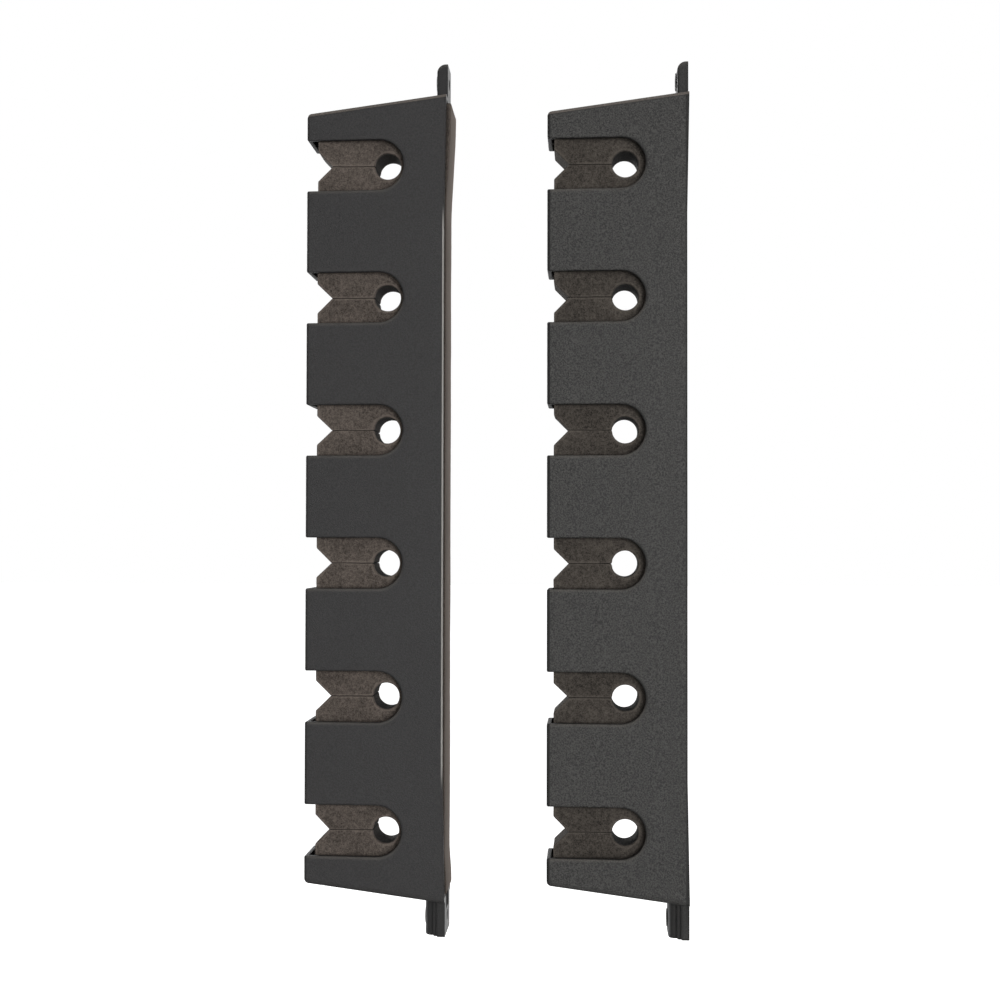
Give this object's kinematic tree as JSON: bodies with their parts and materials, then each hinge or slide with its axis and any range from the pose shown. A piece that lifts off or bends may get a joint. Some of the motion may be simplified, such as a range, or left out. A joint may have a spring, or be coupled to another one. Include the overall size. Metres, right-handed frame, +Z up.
{
  "type": "wall rack pair for long handles",
  "caption": "Pair of tall wall racks: each a moulded channel with side slots, a slotted foam strip that grips long thin handles, and a screw ear at each end.",
  "frame": {"origin": "centre of the pair's box: midway between the racks, at mid height and mid thickness", "axes": "+Z up along the racks, +X from the slot mouths towards the wall, Y through the racks' thickness, along the wall when mounted"},
  "size_m": [0.1956, 0.038, 0.447],
  "materials": {
    "housing": "fine moulded texture, matte charcoal",
    "foam": "closed-cell foam, brown-grey, soft and matte"
  },
  "bodies": {
    "left_rack": {"left_housing": "housing", "left_foam_strip": "foam"},
    "right_rack": {"right_housing": "housing", "right_foam_strip": "foam"}
  },
  "joints": [
    {"name": "right_rack_set", "type": "slide", "parent": "left_rack", "child": "right_rack", "axis": [-0.2016, 0.9795, 0], "range_m": [0, 0.61258]}
  ]
}
